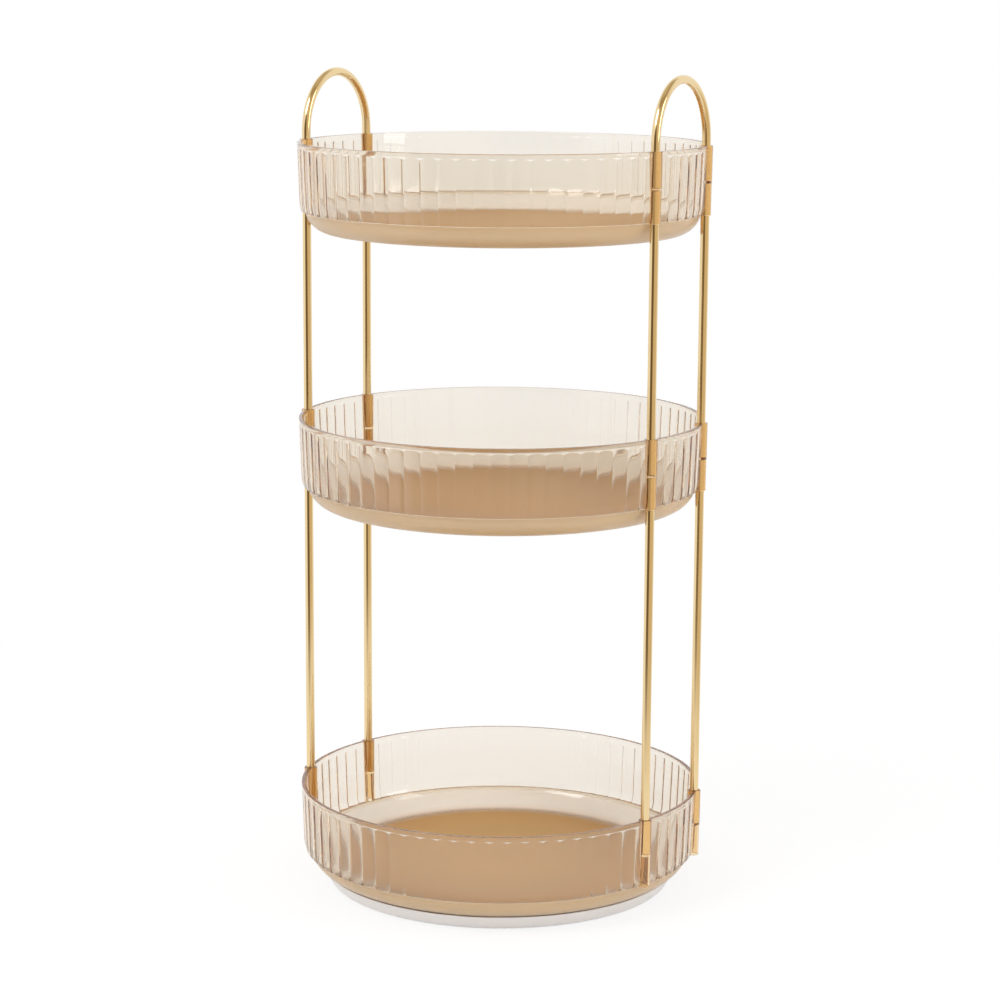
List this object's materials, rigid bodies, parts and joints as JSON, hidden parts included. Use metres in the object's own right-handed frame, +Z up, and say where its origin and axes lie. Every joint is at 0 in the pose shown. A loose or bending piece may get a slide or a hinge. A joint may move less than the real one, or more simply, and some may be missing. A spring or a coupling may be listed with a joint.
{
  "type": "rotating tiered organizer",
  "caption": "Rotating round organizer: open reeded translucent trays stacked on thin metal posts, with bent-rod loop handles and a low ball-bearing turntable.",
  "frame": {"origin": "on the ground, on the turning axis of the turntable", "axes": "+Z up along the turning axis; -Y towards the side that the picture shows; +X to the right seen from there"},
  "size_m": [0.2354, 0.235, 0.475],
  "materials": {
    "amber_plastic": "clear tinted, polished, with a finely frosted floor",
    "gold_rod": "polished gold plating",
    "base_plastic": "pale, slightly cloudy, polished",
    "white_plastic": "plain moulded",
    "mounting_tape": "matt foam",
    "steel": "polished",
    "rubber": "matt, pale grey"
  },
  "bodies": {
    "base": {"base_plate": "base_plastic", "rubber_feet": "rubber"},
    "bearing": {"ball_cage": "white_plastic", "bearing_balls": "steel"},
    "tower": {"bottom_tray": "amber_plastic", "middle_tray": "amber_plastic", "top_tray": "amber_plastic", "handle_left": "gold_rod", "handle_right": "gold_rod", "lower_post_front_right": "gold_rod", "lower_post_right": "gold_rod", "lower_post_back_left": "gold_rod", "lower_post_left": "gold_rod", "upper_post_front_right": "gold_rod", "upper_post_right": "gold_rod", "upper_post_back_left": "gold_rod", "upper_post_left": "gold_rod", "rotor_plate": "white_plastic", "adhesive_ring": "mounting_tape", "pivot_screw": "steel", "pivot_washer": "steel"}
  },
  "joints": [
    {"name": "turntable_spin", "type": "hinge", "parent": "base", "child": "tower", "pos_m": [0, 0, 0.005], "axis": [0, 0, 1], "continuous": true},
    {"name": "cage_orbit", "type": "hinge", "parent": "base", "child": "bearing", "pos_m": [0, 0, 0.005], "axis": [0, 0, 1], "continuous": true}
  ],
  "couplings": [
    {"joint": "cage_orbit", "follows": "turntable_spin", "ratio": 0.5}
  ]
}
